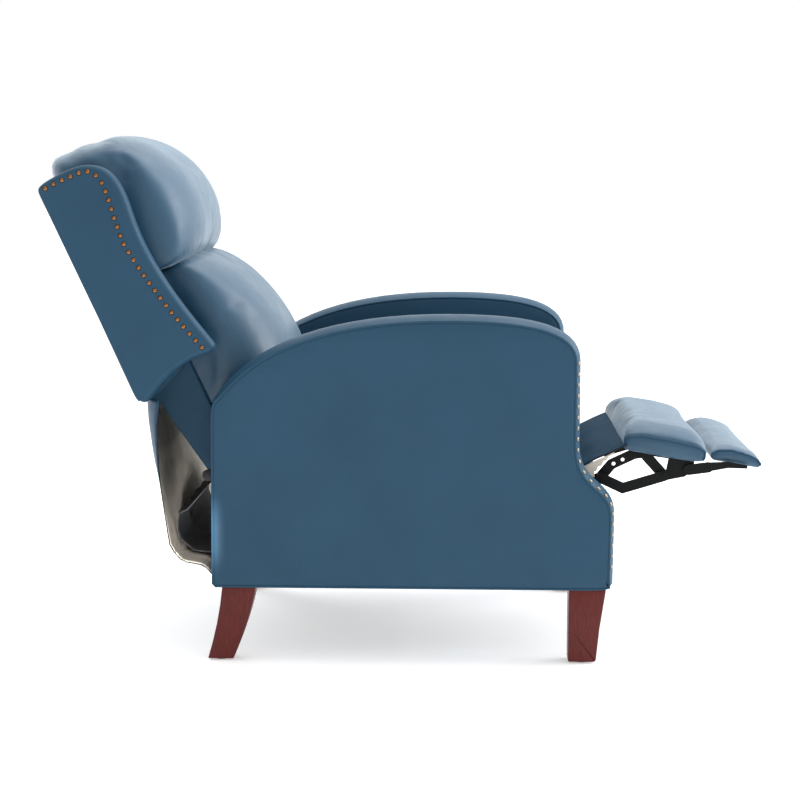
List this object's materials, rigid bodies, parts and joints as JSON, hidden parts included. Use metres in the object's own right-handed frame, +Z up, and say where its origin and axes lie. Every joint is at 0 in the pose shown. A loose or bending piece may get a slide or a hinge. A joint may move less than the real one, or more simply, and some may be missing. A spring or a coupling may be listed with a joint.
{
  "type": "push-back recliner armchair",
  "caption": "Wing-back push-back recliner in blue faux leather with nailhead trim, a two-pad footrest on a steel linkage and mahogany legs, reclined.",
  "frame": {"origin": "middle of the floor rectangle under the reclined chair, where the legs stand", "axes": "+Z up, the chair faces -Y, +X is the sitter's left"},
  "size_m": [0.73, 1.354, 0.978],
  "materials": {
    "frame_timber": "sawn",
    "mahogany_stained_wood": "satin lacquer",
    "antique_brass_nails": "antique",
    "nylon_glide": "moulded",
    "zinc_steel": "zinc plated",
    "black_steel": "black powder coat",
    "spring_steel": "oiled",
    "black_lining": "non-woven",
    "flap_fabric": "non-woven lining, blue outside",
    "blue_cover": "matte faux leather",
    "blue_cushion": "faux leather over foam"
  },
  "bodies": {
    "base": {"arm_frame_right": "frame_timber", "arm_frame_left": "frame_timber", "arm_cover_right": "blue_cover", "arm_cover_left": "blue_cover", "arm_nails_right": "antique_brass_nails", "arm_nails_left": "antique_brass_nails", "front_rail": "frame_timber", "rear_rail": "frame_timber", "corner_blocks": "frame_timber", "leg_front_right": "mahogany_stained_wood", "leg_front_left": "mahogany_stained_wood", "leg_rear_right": "mahogany_stained_wood", "leg_rear_left": "mahogany_stained_wood", "leg_glides": "nylon_glide", "leg_bolts": "zinc_steel", "side_plate_right": "black_steel", "side_plate_left": "black_steel", "plate_bolts": "zinc_steel", "dust_cover": "black_lining", "rear_flap": "flap_fabric", "inner_liner": "black_lining", "leg_panel": "blue_cover"},
    "seat": {"seat_frame": "frame_timber", "seat_springs": "spring_steel", "seat_cushion": "blue_cushion", "seat_brackets": "black_steel"},
    "back": {"back_frame": "frame_timber", "back_springs": "spring_steel", "back_cover": "blue_cover", "wing_right": "blue_cover", "wing_left": "blue_cover", "wing_nails_right": "antique_brass_nails", "wing_nails_left": "antique_brass_nails", "headrest_pillow": "blue_cushion", "lumbar_pillow": "blue_cushion", "back_bracket_right": "black_steel", "back_bracket_left": "black_steel", "back_pins": "zinc_steel"},
    "rear_link": {"rear_link_right": "black_steel", "rear_link_left": "black_steel", "torque_tube": "black_steel"},
    "upper_link": {"upper_link_right": "black_steel", "upper_link_left": "black_steel", "upper_pins": "zinc_steel"},
    "lower_link": {"lower_link_right": "black_steel", "lower_link_left": "black_steel", "lower_pins": "zinc_steel"},
    "ottoman": {"ottoman_bracket_right": "black_steel", "ottoman_bracket_left": "black_steel", "ottoman_pins": "zinc_steel", "ottoman_board": "frame_timber", "ottoman_pad": "blue_cushion"},
    "flap": {"flap_bracket_right": "black_steel", "flap_bracket_left": "black_steel", "flap_pins": "zinc_steel", "flap_board": "frame_timber", "flap_pad": "blue_cushion"}
  },
  "joints": [
    {"name": "back_recline", "type": "hinge", "parent": "base", "child": "back", "pos_m": [0, 0.28, 0.458], "axis": [1, 0, 0], "range_deg": [0, 24], "deforming": ["rear_flap", "inner_liner"]},
    {"name": "seat_slide", "type": "slide", "parent": "base", "child": "seat", "axis": [0, 0.8321, -0.5547], "range_m": [0, 0.03608]},
    {"name": "rear_link_swing", "type": "hinge", "parent": "base", "child": "rear_link", "pos_m": [0, -0.27, 0.264], "axis": [-1, 0, 0], "range_deg": [0, 64.02], "deforming": ["leg_panel"]},
    {"name": "upper_link_fold", "type": "hinge", "parent": "rear_link", "child": "upper_link", "pos_m": [0, -0.367, 0.33], "axis": [1, 0, 0], "range_deg": [0, 128.02]},
    {"name": "lower_link_fold", "type": "hinge", "parent": "rear_link", "child": "lower_link", "pos_m": [0, -0.372, 0.335], "axis": [1, 0, 0], "range_deg": [0, 130.82]},
    {"name": "ottoman_turn", "type": "hinge", "parent": "upper_link", "child": "ottoman", "pos_m": [0, -0.452, 0.383], "axis": [1, 0, 0], "range_deg": [0, 18.02]},
    {"name": "flap_fold", "type": "hinge", "parent": "ottoman", "child": "flap", "pos_m": [0, -0.537, 0.352], "axis": [1, 0, 0], "range_deg": [0, 88.52]}
  ],
  "couplings": [
    {"joint": "seat_slide", "follows": "back_recline", "m_per_rad": 0.086076},
    {"joint": "rear_link_swing", "follows": "back_recline", "ratio": 2.6667},
    {"joint": "upper_link_fold", "follows": "back_recline", "ratio": 5.3333},
    {"joint": "lower_link_fold", "follows": "back_recline", "ratio": 5.45},
    {"joint": "ottoman_turn", "follows": "back_recline", "ratio": 0.75},
    {"joint": "flap_fold", "follows": "back_recline", "ratio": 3.6875}
  ]
}
